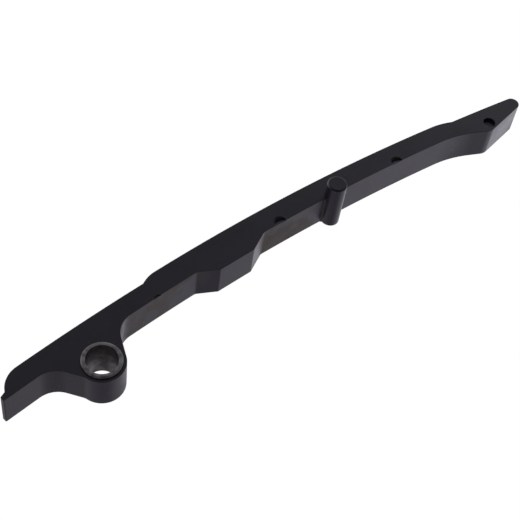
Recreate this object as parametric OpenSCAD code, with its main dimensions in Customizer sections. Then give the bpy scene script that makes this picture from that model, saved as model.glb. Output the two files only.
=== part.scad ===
// Timing chain guide: a black moulded rail that a chain runs along, with a steel pivot sleeve.
// X runs along the rail from the pivot, Y points to the running side, Z is the pivot axis.
// The sleeve seats at Z = 0, a little below the rail. All sizes are in millimetres.

/* [Running side] */
// Width of the rail across the chain
rail_w = 12.5; // [10:0.5:16]
// Height of the lips' crest over the pivot axis
crest_rise = 22.5; // [20:0.1:26]
// Distance along the rail from the pivot to the crest of the lips
crest_x = 97; // [85:1:110]
// Radius of the lips' crest line
lip_r = 785; // [600:5:1200]
// Height of the lips over the bed at the crest
lip_h = 1.75; // [1:0.05:2.4]
// Thickness of each lip
lip_t = 1.8; // [1.2:0.1:3]
// Radius of the bed that the chain runs on
bed_r = 887; // [700:5:1200]
// Distance along the rail from the pivot to the crest of the bed
bed_crest_x = 98.8; // [85:0.1:110]
// Distance along the rail from the pivot to the foot of the lips at the pivot end
lip_start = 26; // [18:0.5:34]
// Length of bare bed between the lips and the tip
bare_tip_l = 27.5; // [24:0.5:40]
// Radius that runs the lips out at the pivot end
lip_lead_r = 12.5; // [8:0.5:20]
// Radius that runs the lips out at the tip end
lip_trail_r = 30; // [12:0.5:45]

/* [Back] */
// Depth of the rail from its back to the lips' crest
rail_depth = 8.1; // [7:0.1:9.5]
// Radius of the back
back_r = 824; // [600:4:1200]
// Distance along the rail from the pivot to the crest of the back
back_crest_x = 104; // [95:1:115]

/* [Step block] */
// Distance along the rail from the pivot to the foot of the step block
block_x = 44.1; // [38:0.1:56]
// Length of the block's slope on the pivot side
block_lead_l = 7.2; // [4:0.1:9]
// Length of the block's flat face
block_face_l = 14.2; // [8:0.1:18]
// Length of the block's slope on the tip side
block_trail_l = 7.2; // [4:0.1:9]
// Height of the block over the back
block_h = 3.8; // [2:0.1:5]
// Edge radius of the block's face
block_edge_r = 0.6; // [0.3:0.1:1.5]
// Root radius of the block
block_root_r = 2; // [0.5:0.1:3]

/* [Pivot boss and sleeve] */
// Bore of the steel sleeve
bush_bore = 10.3; // [8:0.1:11.5]
// Outside diameter of the steel sleeve
bush_d = 13.2; // [12.4:0.1:16]
// Height of the sleeve over the rail's side face
bush_rise = 1; // [0.2:0.1:2]
// Reach of the sleeve below the rail, to the face that it seats on
bush_foot = 1.5; // [0.2:0.1:2]
// Chamfer on the sleeve's edges
bush_chamfer = 0.35; // [0.1:0.05:0.4]
// Gap all round between the sleeve and its seat
bush_gap = 0.02; // [0.01:0.01:0.05]
// Wall of the boss round the sleeve
boss_wall = 1.1; // [0.8:0.1:2]
// Angle between the boss's flank on the tail side and the rail
tail_flank_a = 51; // [45:1:65]
// Distance that the boss's round stands out past the flank on the tail side
tail_flank_in = 0.6; // [0.1:0.1:1]
// Angle between the boss's flank on the rail side and the rail
rail_flank_a = 70.5; // [60:0.5:80]
// Fillet between the tail and the boss
tail_fillet_r = 8.5; // [5:0.5:11]
// Fillet between the boss and the rail's back
rail_fillet_r = 8.5; // [4:0.5:10]

/* [Tail] */
// Length of straight tail from the pivot to where its end turns round
tail_l = 22.8; // [20:0.1:30]
// Depth of the tail under the bed
tail_depth = 7.15; // [6:0.05:8]
// Radius of the tail's end
tail_r = 9; // [7.6:0.1:10]
// Sweep of the tail's end round to its toe
tail_sweep = 62; // [50:1:66]
// Length of the toe past the tail's round end
toe_l = 1.25; // [0.5:0.05:2]
// Thickness of the toe at its end
toe_t = 1.7; // [1.2:0.1:2]

/* [Wedge end] */
// Distance along the rail from the pivot to where the back starts to flare
flare_x = 152.7; // [140:0.1:175]
// Radius of the flare
flare_r = 44; // [30:1:60]
// Angle of the slope behind the flare
flare_a = 22.8; // [18:0.2:28]
// Length of the slope behind the flare
flare_l = 6.3; // [4:0.1:9]
// Length of the wedge's end face
wedge_l = 16.5; // [12:0.1:22]
// Radius of the corner between the slope and the end face
wedge_r = 5; // [2:0.5:6]
// Radius of the round tip
tip_r = 2.6; // [2:0.1:3]

/* [Locating post] */
// Distance along the rail from the pivot to the post
post_x = 103.2; // [90:0.1:125]
// Diameter of the post
post_d = 7; // [5:0.1:8]
// Draft of the post below the side face, towards its foot
post_draft_a = 0.9; // [0.2:0.1:2]
// Distance of the post's axis outside the rail's back
post_out = 0.8; // [0:0.1:1.5]
// Fillet between the post and the rail's back
post_root_r = 1.2; // [0.3:0.1:2]
// Height of the post over the rail's side face
post_rise = 6.7; // [3:0.1:10]
// Chamfer on the post's free end
post_chamfer = 0.5; // [0.2:0.1:1]

/* [Moulding pockets] */
// Diameter of the round pockets in the side face
pocket_d = 4.5; // [3:0.1:5]
// Depth of the pocket in the wedge
pocket_depth = 1.3; // [0.3:0.1:2]
// Depth of the pockets along the back, where they run out at its edge
pocket_edge_depth = 0.2; // [0.1:0.05:0.5]
// Slope of the floors of the pockets along the back
pocket_slope_a = 22; // [10:1:30]
// Distance along the rail from the pivot to the first pocket
pocket_x = 27.7; // [24:0.1:34]
// Spacing of the pockets along the back
pocket_pitch = 52.4; // [48:0.1:56]
// Reach of each pocket into the side face from the back edge
pocket_reach = [0.8, 2.8, 2.65];
// Distance from the tip to the pocket in the wedge
tip_pocket_l = 17; // [14:0.1:19]
// Distance from the bed to the pocket in the wedge
tip_pocket_drop = 6.7; // [6:0.1:7.5]

/* [Hidden] */
$fn = 96;

// Largest distance between a curve and the chords that stand for it
chord_gap = 0.005;
// Run of a cut past the face that it starts from
over = 1;
// Edge radius of the toe
toe_edge_r = 0.35;
// Fillet between the boss's round and its flank on the tail side
boss_root_r = 4;

boss_r = bush_d / 2 + boss_wall;
lip_crest = [crest_x, crest_rise];
bed_crest = [bed_crest_x, crest_rise - lip_h];
back_crest = [back_crest_x, crest_rise - rail_depth];

function polar(r, a) = r * [cos(a), sin(a)];
function unit(v) = v / norm(v);
function heading(v) = atan2(v[1], v[0]);
// Where the line through p along u meets the line through q along v
function meet(p, u, q, v) = p + u * cross(q - p, v) / cross(u, v);

// Points along an arc from angle a0 to angle a1
function arc(c, r, a0, a1) =
  let (n = max(1, ceil(abs(a1 - a0) / (2 * acos(1 - chord_gap / r)))))
  [for (i = [0:n]) c + polar(r, a0 + (a1 - a0) * i / n)];

// Points of the arc that rounds corner b between a and c
function rounded(a, b, c, r) =
  let (
    u = unit(a - b),
    v = unit(c - b),
    half = acos(u * v) / 2,
    centre = b + unit(u + v) * r / sin(half),
    from = heading(b + u * r / tan(half) - centre),
    turn = (180 - 2 * half) * sign(cross(b - a, c - b))
  )
  arc(centre, r, from, from + turn);

// A long arc is given by its crest and its radius: its angle, height and points at station x
function arc_angle(crest, r, x) = 90 - asin((x - crest[0]) / r);
function arc_at(crest, r, x) = crest - [0, r] + polar(r, arc_angle(crest, r, x));
function arc_points(crest, r, x0, x1) =
  arc(crest - [0, r], r, arc_angle(crest, r, x0), arc_angle(crest, r, x1));
function back_at(x) = arc_at(back_crest, back_r, x);
function back_points(x0, x1) = arc_points(back_crest, back_r, x0, x1);

// Tail: its near edge runs parallel to the bed, down to the toe
tail_a = arc_angle(bed_crest, bed_r, -tail_l);
tail_dir = polar(1, tail_a - 90);
tail_top = arc_at(bed_crest, bed_r, -tail_l);
tail_c = tail_top - polar(tail_r, tail_a);
tail_near = tail_top - polar(tail_depth, tail_a);
toe_near = tail_near - tail_dir * (tail_near[0] - tail_c[0] + tail_r + toe_l) / tail_dir[0];
toe_far = toe_near + polar(toe_t, tail_a);
toe_root = tail_c + polar(tail_r, tail_a + tail_sweep);

// Boss: the flank on the rail side is tangent to its round, the other meets it in a fillet
tail_flank_dir = polar(1, 180 - tail_flank_a);
rail_flank_dir = polar(1, rail_flank_a);
tail_foot_a = 270 - tail_flank_a;
tail_flank_foot = polar(boss_r - tail_flank_in, tail_foot_a);
rail_flank_foot = polar(boss_r, rail_flank_a - 90);
boss_root_a = tail_foot_a - acos(1 - tail_flank_in / (boss_r + boss_root_r));
boss_root_c = polar(boss_r + boss_root_r, boss_root_a);
tail_corner = meet(tail_near, tail_dir, tail_flank_foot, tail_flank_dir);
// The back's arc takes over from its own tangent past the fillet
back_start = boss_r + rail_fillet_r + 3;
rail_corner = meet(back_at(back_start), polar(1, arc_angle(back_crest, back_r, back_start) - 90),
                   rail_flank_foot, rail_flank_dir);

// Step block
block_face_x = block_x + block_lead_l;
block_back_x = block_face_x + block_face_l;
block_end = block_back_x + block_trail_l;
block_face_a = back_at(block_face_x) - [0, block_h];
block_face_b = back_at(block_back_x) - [0, block_h];

// Wedge end: the flare leaves the back tangent to it, and the end face is tangent to the tip
flare_top_a = arc_angle(back_crest, back_r, flare_x);
flare_c = back_at(flare_x) - polar(flare_r, flare_top_a);
slope_dir = polar(1, -flare_a);
wedge_corner = flare_c + polar(flare_r, 90 - flare_a) + slope_dir * flare_l;
tip_c = arc_at(bed_crest - [0, tip_r], bed_r - tip_r, wedge_corner[0] + wedge_l);
tip_x = tip_c[0] + tip_r;
to_tip = tip_c - wedge_corner;
face_a = heading(to_tip) - asin(tip_r / norm(to_tip));
tip_top_a = arc_angle(bed_crest, bed_r, tip_c[0]);
tip_top_x = tip_c[0] + tip_r * cos(tip_top_a);

// Side view of the rail up to the bed, from the toe along the back to the tip and home along the bed
function rail_outline() = concat(
  rounded(toe_far, toe_near, tail_corner, toe_edge_r),
  rounded(toe_near, tail_corner, tail_flank_foot, tail_fillet_r),
  arc(boss_root_c, boss_root_r, tail_foot_a - 180, boss_root_a - 180),
  arc([0, 0], boss_r, boss_root_a, 270 + rail_flank_a),
  rounded(rail_flank_foot, rail_corner, back_at(back_start), rail_fillet_r),
  back_points(back_start, block_x - block_root_r),
  rounded(back_at(block_x - block_root_r), back_at(block_x), block_face_a, block_root_r),
  rounded(back_at(block_x), block_face_a, block_face_b, block_edge_r),
  rounded(block_face_a, block_face_b, back_at(block_end), block_edge_r),
  rounded(block_face_b, back_at(block_end), back_at(block_end + block_root_r), block_root_r),
  back_points(block_end + block_root_r, flare_x),
  arc(flare_c, flare_r, flare_top_a, 90 - flare_a),
  rounded(wedge_corner - slope_dir, wedge_corner, wedge_corner + polar(1, face_a), wedge_r),
  arc(tip_c, tip_r, face_a - 90, tip_top_a),
  arc_points(bed_crest, bed_r, tip_top_x, -tail_l),
  arc(tail_c, tail_r, tail_a, tail_a + tail_sweep),
  rounded(toe_root, toe_far, toe_near, toe_edge_r)
);

// Side view of one lip: its crest, run out at both ends into the body under the bed
lip_root = 0.6;
lead_sweep = acos(1 - (lip_h + lip_root) / lip_lead_r);
trail_sweep = acos(1 - (lip_h + lip_root) / lip_trail_r);
lip_x0 = lip_start + sqrt(2 * lip_lead_r * lip_h);
lip_x1 = tip_x - bare_tip_l - sqrt(2 * lip_trail_r * lip_h);
lip_a0 = arc_angle(lip_crest, lip_r, lip_x0);
lip_a1 = arc_angle(lip_crest, lip_r, lip_x1);
lead_c = arc_at(lip_crest, lip_r, lip_x0) - polar(lip_lead_r, lip_a0);
trail_c = arc_at(lip_crest, lip_r, lip_x1) - polar(lip_trail_r, lip_a1);
function lip_outline() = concat(
  arc(lead_c, lip_lead_r, lip_a0 + lead_sweep, lip_a0),
  arc_points(lip_crest, lip_r, lip_x0, lip_x1),
  arc(trail_c, lip_trail_r, lip_a1, lip_a1 - trail_sweep)
);

module lip() {
  linear_extrude(lip_t) polygon(lip_outline());
}

// Round post: it narrows a little to its foot, and its free end is a plain pin with a chamfer
post_r = post_d / 2;
post_foot_r = post_r - rail_w * tan(post_draft_a);
module post() {
  top = rail_w + post_rise;
  rotate_extrude()
    polygon([[0, 0], [post_foot_r, 0], [post_r, rail_w], [post_r, top - post_chamfer],
             [post_r - post_chamfer, top], [0, top]]);
}

// Fillets on both sides of the post, between its round and the rail's back, which lies post_out over the
// post's axis. They reach a little into both, so that the surfaces cross instead of just touching.
root_sink = 0.06;
module post_root() {
  dy = post_out - post_root_r + root_sink;
  root_c = [sqrt(pow(post_foot_r + post_root_r - root_sink, 2) - dy * dy), dy];
  from_a = heading(-root_c);
  fillet = arc(root_c, post_root_r, from_a > 0 ? from_a : from_a + 360, 90);
  side = concat(fillet, [[root_c[0], post_out + post_root_r]]);
  other_side = [for (i = [len(side) - 1:-1:0]) [-side[i][0], side[i][1]]];
  lean = arc_angle(back_crest, back_r, post_x) - 90;
  outline = concat(side, other_side);
  linear_extrude(rail_w) polygon([for (p = outline) polar(norm(p), heading(p) + lean)]);
}

// Pocket with its floor across its axis, from the origin up
module pocket(depth) {
  cylinder(d = pocket_d, h = depth + over);
}

// Pocket at the back edge: its floor slopes down into the rail as far as its reach
module edge_pocket(reach) {
  a = pocket_slope_a;
  axis_y = reach * cos(a) - pocket_edge_depth * sin(a) - pocket_d / 2;
  translate([0, 0, rail_w - pocket_edge_depth])
    rotate([-a, 0, 0])
      translate([0, axis_y, 0]) pocket(pocket_d);
}

module guide_rail() {
  color("#1d1e21")
    translate([0, 0, bush_foot])
      difference() {
        union() {
          linear_extrude(rail_w) polygon(rail_outline());
          lip();
          translate([0, 0, rail_w - lip_t]) lip();
          translate(back_at(post_x) - [0, post_out]) {
            post();
            post_root();
          }
        }
        translate([0, 0, -over]) cylinder(d = bush_d + 2 * bush_gap, h = rail_w + 2 * over);
        for (i = [0:len(pocket_reach) - 1])
          translate(back_at(pocket_x + i * pocket_pitch)) edge_pocket(pocket_reach[i]);
        translate(arc_at(bed_crest, bed_r, tip_x - tip_pocket_l) - [0, tip_pocket_drop])
          translate([0, 0, rail_w - pocket_depth]) pocket(pocket_depth);
      }
}

// Plain turned sleeve with all four edges broken
module pivot_bush() {
  ri = bush_bore / 2;
  ro = bush_d / 2;
  h = bush_foot + rail_w + bush_rise;
  c = bush_chamfer;
  color("#8d8f92")
    rotate_extrude()
      polygon([[ri + c, 0], [ro - c, 0], [ro, c], [ro, h - c],
               [ro - c, h], [ri + c, h], [ri, h - c], [ri, c]]);
}

guide_rail();
pivot_bush();
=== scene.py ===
# Timing chain guide: the looks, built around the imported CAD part.
from math import cos, pi, radians, sin

import bmesh
import bpy
from mathutils import Matrix, Vector


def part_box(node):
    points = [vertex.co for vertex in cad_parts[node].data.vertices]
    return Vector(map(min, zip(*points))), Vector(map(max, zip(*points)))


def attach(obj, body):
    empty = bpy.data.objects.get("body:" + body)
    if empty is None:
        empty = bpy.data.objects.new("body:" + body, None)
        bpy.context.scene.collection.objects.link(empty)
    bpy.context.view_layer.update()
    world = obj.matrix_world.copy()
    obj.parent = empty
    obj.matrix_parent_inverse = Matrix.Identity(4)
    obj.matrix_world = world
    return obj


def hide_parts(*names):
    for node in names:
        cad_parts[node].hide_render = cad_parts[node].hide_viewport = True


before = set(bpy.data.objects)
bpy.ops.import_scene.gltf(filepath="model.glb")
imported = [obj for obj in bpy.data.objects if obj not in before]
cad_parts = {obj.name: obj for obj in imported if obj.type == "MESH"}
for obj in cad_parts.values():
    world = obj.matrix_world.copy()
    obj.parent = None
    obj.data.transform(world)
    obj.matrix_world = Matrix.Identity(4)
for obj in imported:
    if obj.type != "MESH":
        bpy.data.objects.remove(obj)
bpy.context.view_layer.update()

# Guide rail
# One black moulding of glass-filled polyamide: rail, lips, boss, step block, post and wedge end.
# It comes out of a steel mould, so its outer edges are eased by about a tenth of a millimetre.

MM = 0.001
MERGE_DIST = 0.001 * MM
FLAT_ANGLE = radians(0.1)
EDGE_ANGLE = radians(28)
EDGE_EASE = 0.12 * MM
SHARP_ANGLE = radians(40)


def add_piece(name, bm):
    """Makes an object of a bmesh, at the origin."""
    mesh = bpy.data.meshes.new(name)
    bm.to_mesh(mesh)
    bm.free()
    piece = bpy.data.objects.new(name, mesh)
    bpy.context.scene.collection.objects.link(piece)
    return piece


def smooth_faces(piece):
    """Shades a piece smooth, apart from its sharp edges, and keeps its flat faces flat."""
    piece.data.shade_smooth()
    piece.data.set_sharp_from_angle(angle=SHARP_ANGLE)
    piece.modifiers.new("flat faces stay flat", "WEIGHTED_NORMAL").keep_sharp = True


bm = bmesh.new()
bm.from_mesh(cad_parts["guide_rail"].data)
bmesh.ops.remove_doubles(bm, verts=bm.verts, dist=MERGE_DIST)
bmesh.ops.dissolve_limit(bm, angle_limit=FLAT_ANGLE, verts=bm.verts, edges=bm.edges)
outer_edges = [e for e in bm.edges if e.is_manifold and e.calc_face_angle_signed() > EDGE_ANGLE]
bmesh.ops.bevel(bm, geom=outer_edges, offset=EDGE_EASE, offset_type="OFFSET", segments=3,
                profile=0.5, affect="EDGES", clamp_overlap=False, material=-1)
rail = add_piece("moulded_rail", bm)
smooth_faces(rail)

# Glass-filled polyamide as moulded: half-gloss black, faintly violet, with a fine spark-eroded grain
# from the mould, cloudy flow marks, a thin warm film of oil and dust on the back, which dulls it in
# patches, and small pale fibre flecks.
RAIL_BLACK = "#15121d"
RAIL_FLOW = "#1c1828"
RAIL_FILM = "#3b3126"
RAIL_FLECK = "#5a5a60"
RAIL_IOR = 1.53
GLOSSIEST = 0.24
DULLEST = 0.38
FILM_DULLS = 0.4
FLOW_SIZE = 13 * MM
PATCH_SIZE = 9 * MM
# A glass fibre is about 0.01 mm thick; its fleck is drawn some 0.5 mm wide so that it shows.
FLECK_SIZE = 0.9 * MM
# The mould's grain is about 0.1 mm; it is drawn coarser so that it shows.
GRAIN_SIZE = 0.35 * MM
GRAIN_DEPTH = 0.02 * MM
# The film is thick on the back on both sides of the step block, thinner at the pivot end, and nearly
# rubbed off on the block and from the post on. Between these it fades over the stretches below.
BACKWARD = (0, -1, 0)
BLOCK_X = 58.4 * MM
BLOCK_FADE = 9 * MM, 15 * MM
POST_FADE = 90 * MM, 102 * MM
PIVOT_FADE = 4 * MM, 16 * MM
FILM_THICK = 0.65
FILM_RUBBED = 0.05
FILM_AT_PIVOT = 0.22
FILM_OFF_BACK = 0.08


def linear(hex_colour):
    """An sRGB hex value as linear RGBA."""
    parts = [int(hex_colour[i:i + 2], 16) / 255 for i in (1, 3, 5)]
    return [p / 12.92 if p <= 0.04045 else ((p + 0.055) / 1.055) ** 2.4 for p in parts] + [1.0]


def node(tree, kind, settings=None, inputs=None):
    """Adds a node with its settings, and sets or links each of its inputs."""
    added = tree.nodes.new(kind)
    for name, value in (settings or {}).items():
        setattr(added, name, value)
    for name, value in (inputs or {}).items():
        if isinstance(value, bpy.types.NodeSocket):
            tree.links.new(value, added.inputs[name])
        else:
            added.inputs[name].default_value = value
    return added


plastic = bpy.data.materials.new("black glass-filled polyamide, moulded")
plastic.use_nodes = True
tree = plastic.node_tree
shader = tree.nodes["Principled BSDF"]
place = node(tree, "ShaderNodeTexCoord").outputs["Object"]
flow = node(tree, "ShaderNodeTexNoise", {},
            {"Vector": place, "Scale": 1 / FLOW_SIZE, "Detail": 3.0, "Roughness": 0.55})
moulded = node(tree, "ShaderNodeMix", {"data_type": "RGBA"},
               {"Factor": flow.outputs["Fac"], "A": linear(RAIL_BLACK), "B": linear(RAIL_FLOW)})

along = node(tree, "ShaderNodeSeparateXYZ", {}, {"Vector": place}).outputs["X"]
from_block = node(tree, "ShaderNodeMath", {"operation": "SUBTRACT"}, {0: along, 1: BLOCK_X})
off_block = node(tree, "ShaderNodeMath", {"operation": "ABSOLUTE"}, {0: from_block.outputs["Value"]})
beside_block = node(tree, "ShaderNodeMapRange", {"interpolation_type": "SMOOTHSTEP"},
                    {"Value": off_block.outputs["Value"],
                     "From Min": BLOCK_FADE[0], "From Max": BLOCK_FADE[1],
                     "To Min": FILM_RUBBED, "To Max": FILM_THICK})
up_to_post = node(tree, "ShaderNodeMapRange", {"interpolation_type": "SMOOTHSTEP"},
                  {"Value": along, "From Min": POST_FADE[0], "From Max": POST_FADE[1],
                   "To Min": beside_block.outputs["Result"], "To Max": FILM_RUBBED})
on_back = node(tree, "ShaderNodeMapRange", {"interpolation_type": "SMOOTHSTEP"},
               {"Value": along, "From Min": PIVOT_FADE[0], "From Max": PIVOT_FADE[1],
                "To Min": FILM_AT_PIVOT, "To Max": up_to_post.outputs["Result"]})
outward = node(tree, "ShaderNodeTexCoord").outputs["Normal"]
backness = node(tree, "ShaderNodeVectorMath", {"operation": "DOT_PRODUCT"}, {0: outward, 1: BACKWARD})
thickest = node(tree, "ShaderNodeMapRange", {},
                {"Value": backness.outputs["Value"], "From Min": 0.2, "From Max": 0.8,
                 "To Min": FILM_OFF_BACK, "To Max": on_back.outputs["Result"]})
patches = node(tree, "ShaderNodeTexNoise", {},
               {"Vector": place, "Scale": 1 / PATCH_SIZE, "Detail": 4.0, "Roughness": 0.6})
film = node(tree, "ShaderNodeMapRange", {"interpolation_type": "SMOOTHSTEP"},
            {"Value": patches.outputs["Fac"], "From Min": 0.36, "From Max": 0.58,
             "To Min": 0.0, "To Max": thickest.outputs["Result"]})
filmed = node(tree, "ShaderNodeMix", {"data_type": "RGBA"},
              {"Factor": film.outputs["Result"], "A": moulded.outputs["Result"], "B": linear(RAIL_FILM)})

fibres = node(tree, "ShaderNodeTexNoise", {}, {"Vector": place, "Scale": 1 / FLECK_SIZE, "Detail": 1.0})
flecks = node(tree, "ShaderNodeMapRange", {},
              {"Value": fibres.outputs["Fac"], "From Min": 0.7, "From Max": 0.78,
               "To Min": 0.0, "To Max": 0.3})
skin = node(tree, "ShaderNodeMix", {"data_type": "RGBA"},
            {"Factor": flecks.outputs["Result"], "A": filmed.outputs["Result"], "B": linear(RAIL_FLECK)})
tree.links.new(skin.outputs["Result"], shader.inputs["Base Color"])

gloss = node(tree, "ShaderNodeMapRange", {},
             {"Value": flow.outputs["Fac"], "From Min": 0.3, "From Max": 0.7,
              "To Min": GLOSSIEST, "To Max": DULLEST})
dulled = node(tree, "ShaderNodeMath", {"operation": "MULTIPLY_ADD"},
              {0: film.outputs["Result"], 1: FILM_DULLS, 2: gloss.outputs["Result"]})
tree.links.new(dulled.outputs["Value"], shader.inputs["Roughness"])
grain = node(tree, "ShaderNodeTexNoise", {},
             {"Vector": place, "Scale": 1 / GRAIN_SIZE, "Detail": 2.0, "Roughness": 0.6})
relief = node(tree, "ShaderNodeBump", {},
              {"Height": grain.outputs["Fac"], "Strength": 0.3, "Distance": GRAIN_DEPTH})
tree.links.new(relief.outputs["Normal"], shader.inputs["Normal"])
shader.inputs["IOR"].default_value = RAIL_IOR
rail.data.materials.append(plastic)
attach(rail, "root")
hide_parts("guide_rail")

# Pivot sleeve
# A plain steel sleeve, turned and cut off, then pressed into the boss. It stands out of the boss on
# both sides, so that the pivot bolt clamps it, and all four edges are broken by a small chamfer.

sleeve_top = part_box("pivot_bush")[1]
SLEEVE_R = sleeve_top.x
SLEEVE_H = sleeve_top.z
BORE_R = 5.15 * MM
SLEEVE_CHAMFER = 0.35 * MM
BORE_CHAMFER = 0.15 * MM
RING_ANGLE = radians(30)
RING_EASE = 0.05 * MM
SLEEVE_STEPS = 128

end_inside = BORE_R + BORE_CHAMFER
end_outside = SLEEVE_R - SLEEVE_CHAMFER
WALL = (
    (end_inside, 0),
    (end_outside, 0),
    (SLEEVE_R, SLEEVE_CHAMFER),
    (SLEEVE_R, SLEEVE_H - SLEEVE_CHAMFER),
    (end_outside, SLEEVE_H),
    (end_inside, SLEEVE_H),
    (BORE_R, SLEEVE_H - BORE_CHAMFER),
    (BORE_R, BORE_CHAMFER),
)

bm = bmesh.new()
corners = [bm.verts.new((r, 0, z)) for r, z in WALL]
for corner, following in zip(corners, corners[1:] + corners[:1]):
    bm.edges.new((corner, following))
bmesh.ops.spin(bm, geom=bm.verts[:] + bm.edges[:], cent=(0, 0, 0), axis=(0, 0, 1),
               angle=2 * pi, steps=SLEEVE_STEPS, use_merge=True)
bmesh.ops.remove_doubles(bm, verts=bm.verts, dist=MERGE_DIST)
bmesh.ops.recalc_face_normals(bm, faces=bm.faces)
rings = [e for e in bm.edges if e.is_manifold and e.calc_face_angle() > RING_ANGLE]
bmesh.ops.bevel(bm, geom=rings, offset=RING_EASE, offset_type="OFFSET", segments=2,
                profile=0.5, affect="EDGES", clamp_overlap=False, material=-1)
sleeve = add_piece("steel_sleeve", bm)
smooth_faces(sleeve)

# Dull turned steel: mid grey and blotched, with fine rings from the lathe tool, and darker and
# browner in the bore, where oil has stayed on it. The bore's stain is heaviest near the top and thins
# towards the bottom. The thinning is painted reflection: the floor is kept out of the reflections,
# and the lighter lower bore stands in for its glow.
SLEEVE_GREY = "#989595"
SLEEVE_DULL = "#6c6969"
BORE_OIL = "#3c3533"
SLEEVE_ROUGHNESS = 0.55
BLOTCH_SIZE = 2.5 * MM
# How strongly the oil shows, from low to high in the bore. Its fading towards the bottom is painted
# light, a lighter lower bore in place of the floor's reflected glow.
OIL_AND_PAINTED_GLOW_FADE = 0.25 * SLEEVE_H, 0.85 * SLEEVE_H
OIL_AND_PAINTED_GLOW_LOW = 0.15
OIL_AND_PAINTED_GLOW_HIGH = 0.75
# The tool's feed is about 0.1 mm a turn; the marks are drawn further apart so that they show.
MARK_GAP = 0.3 * MM
MARK_DEPTH = 0.01 * MM
# A wave texture of scale 1 repeats every 2 pi / 20.
MARK_SCALE = 2 * pi / 20 / MARK_GAP

steel = bpy.data.materials.new("turned steel, dull and oil-stained")
steel.use_nodes = True
tree = steel.node_tree
shader = tree.nodes["Principled BSDF"]
place = node(tree, "ShaderNodeTexCoord").outputs["Object"]
blotch = node(tree, "ShaderNodeTexNoise", {}, {"Vector": place, "Scale": 1 / BLOTCH_SIZE, "Detail": 3.0})
clean = node(tree, "ShaderNodeMapRange", {},
             {"Value": blotch.outputs["Fac"], "From Min": 0.36, "From Max": 0.6})
turned = node(tree, "ShaderNodeMix", {"data_type": "RGBA"},
              {"Factor": clean.outputs["Result"], "A": linear(SLEEVE_DULL), "B": linear(SLEEVE_GREY)})
level_place = node(tree, "ShaderNodeVectorMath", {"operation": "MULTIPLY"}, {0: place, 1: (1, 1, 0)})
radius = node(tree, "ShaderNodeVectorMath", {"operation": "LENGTH"}, {0: level_place.outputs["Vector"]})
above_seat = node(tree, "ShaderNodeSeparateXYZ", {}, {"Vector": place}).outputs["Z"]
# Painted reflection: the stain thins towards the bottom of the bore, in place of the floor's glow.
oil_and_painted_glow_by_height = node(tree, "ShaderNodeMapRange", {"interpolation_type": "SMOOTHSTEP"},
               {"Value": above_seat, "From Min": OIL_AND_PAINTED_GLOW_FADE[0], "From Max": OIL_AND_PAINTED_GLOW_FADE[1],
                "To Min": OIL_AND_PAINTED_GLOW_LOW, "To Max": OIL_AND_PAINTED_GLOW_HIGH})
oil_and_painted_glow = node(tree, "ShaderNodeMapRange", {"interpolation_type": "SMOOTHSTEP"},
           {"Value": radius.outputs["Value"], "From Min": BORE_R, "From Max": end_inside,
            "To Min": oil_and_painted_glow_by_height.outputs["Result"], "To Max": 0.0})
stained = node(tree, "ShaderNodeMix", {"data_type": "RGBA"},
               {"Factor": oil_and_painted_glow.outputs["Result"], "A": turned.outputs["Result"], "B": linear(BORE_OIL)})
tree.links.new(stained.outputs["Result"], shader.inputs["Base Color"])

end_marks = node(tree, "ShaderNodeTexWave", {"wave_type": "RINGS", "rings_direction": "Z"},
                 {"Vector": place, "Scale": MARK_SCALE, "Distortion": 0.4})
wall_marks = node(tree, "ShaderNodeTexWave", {"wave_type": "BANDS", "bands_direction": "Z"},
                  {"Vector": place, "Scale": MARK_SCALE, "Distortion": 0.4})
marks = node(tree, "ShaderNodeMath", {"operation": "ADD"},
             {0: end_marks.outputs["Fac"], 1: wall_marks.outputs["Fac"]})
relief = node(tree, "ShaderNodeBump", {},
              {"Height": marks.outputs["Value"], "Strength": 0.2, "Distance": MARK_DEPTH})
tree.links.new(relief.outputs["Normal"], shader.inputs["Normal"])
shader.inputs["Metallic"].default_value = 1.0
shader.inputs["Roughness"].default_value = SLEEVE_ROUGHNESS
sleeve.data.materials.append(steel)
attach(sleeve, "root")
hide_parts("pivot_bush")

# Floor
# A plain white sweep that glows evenly, as a light table does. The soft lights from below the horizon
# stand for what it throws back at the object, so it is kept out of the reflections itself.

FLOOR_HALF = 3.0
FLOOR_DROP = 0.02 * MM
FLOOR_WHITE = "#ffffff"
FLOOR_UNDER = "#303030"
FLOOR_ROUGHNESS = 0.9
FLOOR_GLOW = 1.0

bm = bmesh.new()
bmesh.ops.create_grid(bm, x_segments=1, y_segments=1, size=FLOOR_HALF)
bmesh.ops.translate(bm, verts=bm.verts, vec=(0, 0, -FLOOR_DROP))
floor = add_piece("floor", bm)
sweep = bpy.data.materials.new("white sweep, lit from within")
sweep.use_nodes = True
shader = sweep.node_tree.nodes["Principled BSDF"]
shader.inputs["Base Color"].default_value = linear(FLOOR_UNDER)
shader.inputs["Roughness"].default_value = FLOOR_ROUGHNESS
shader.inputs["Emission Color"].default_value = linear(FLOOR_WHITE)
shader.inputs["Emission Strength"].default_value = FLOOR_GLOW
floor.data.materials.append(sweep)
floor.visible_glossy = False

# Studio light
# Even, slightly cool light from all round, with wide soft lights added to it. They are strongest low
# down past the wedge end and on the running side, and the room behind the camera is dim.

LIGHT_COOL = "#f6f4fd"
EVEN_LIGHT = 0.25
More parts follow.
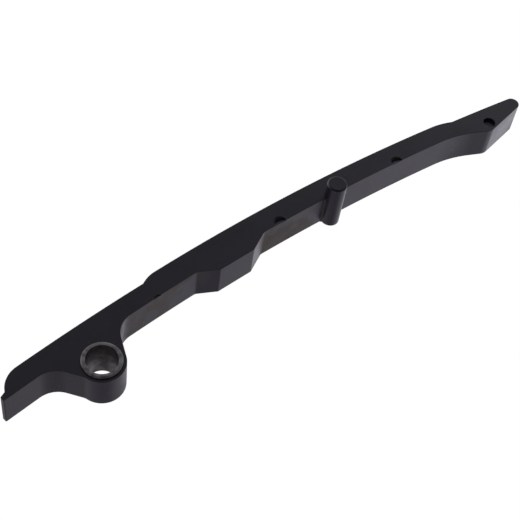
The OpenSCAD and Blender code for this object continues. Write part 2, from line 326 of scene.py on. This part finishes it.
# Each light: compass way from +Y towards +X and height, both in degrees, then sharpness and strength.
SOFT_LIGHTS = (
    (90, -30, 6, 0.5),
    (90, -32, 20, 1.1),
    (150, -30, 20, 1.0),
    (60, 15, 20, 1.35),
    (270, -30, 6, 0.2),
    (340, -10, 6, 1.6),
    (45, 52, 6, 0.08),
    (225, 50, 3, -0.22),
)

world = bpy.data.worlds.new("studio")
world.use_nodes = True
tree = world.node_tree
way = node(tree, "ShaderNodeTexCoord").outputs["Generated"]
light = EVEN_LIGHT
for compass, height, sharpness, strength in SOFT_LIGHTS:
    toward = (cos(radians(height)) * sin(radians(compass)),
              cos(radians(height)) * cos(radians(compass)),
              sin(radians(height)))
    nearness = node(tree, "ShaderNodeVectorMath", {"operation": "DOT_PRODUCT"}, {0: way, 1: toward})
    falloff = node(tree, "ShaderNodeMath", {"operation": "MULTIPLY_ADD"},
                   {0: nearness.outputs["Value"], 1: sharpness, 2: -sharpness})
    glow = node(tree, "ShaderNodeMath", {"operation": "EXPONENT"}, {0: falloff.outputs["Value"]})
    summed = node(tree, "ShaderNodeMath", {"operation": "MULTIPLY_ADD"},
                  {0: glow.outputs["Value"], 1: strength, 2: light})
    light = summed.outputs["Value"]
background = tree.nodes["Background"]
background.inputs["Color"].default_value = linear(LIGHT_COOL)
tree.links.new(light, background.inputs["Strength"])
bpy.context.scene.world = world
bpy.context.scene.view_settings.view_transform = "Standard"

# Camera
# It looks down on the side face with the post, from the pivot end and the back, and is turned a
# little about its own axis.

EYE = Vector((-109.4, -173.5, 339.2)) * MM
LOOK = Vector((0.4244, 0.4360, -0.7936)).normalized()
UPWARD = Vector((0, 0, 1))
ROLL = radians(9.58)
LENS = 85.8
SENSOR_WIDTH = 36.0
NEAR_CLIP = 0.01

level = LOOK.cross(UPWARD).normalized()
upright = level.cross(LOOK)
right = cos(ROLL) * level + sin(ROLL) * upright
up = cos(ROLL) * upright - sin(ROLL) * level
camera = bpy.data.objects.new("camera", bpy.data.cameras.new("camera"))
camera.data.lens = LENS
camera.data.sensor_width = SENSOR_WIDTH
camera.data.clip_start = NEAR_CLIP
camera.matrix_world = Matrix.Translation(EYE) @ Matrix((right, up, -LOOK)).transposed().to_4x4()
bpy.context.scene.collection.objects.link(camera)
bpy.context.scene.camera = camera
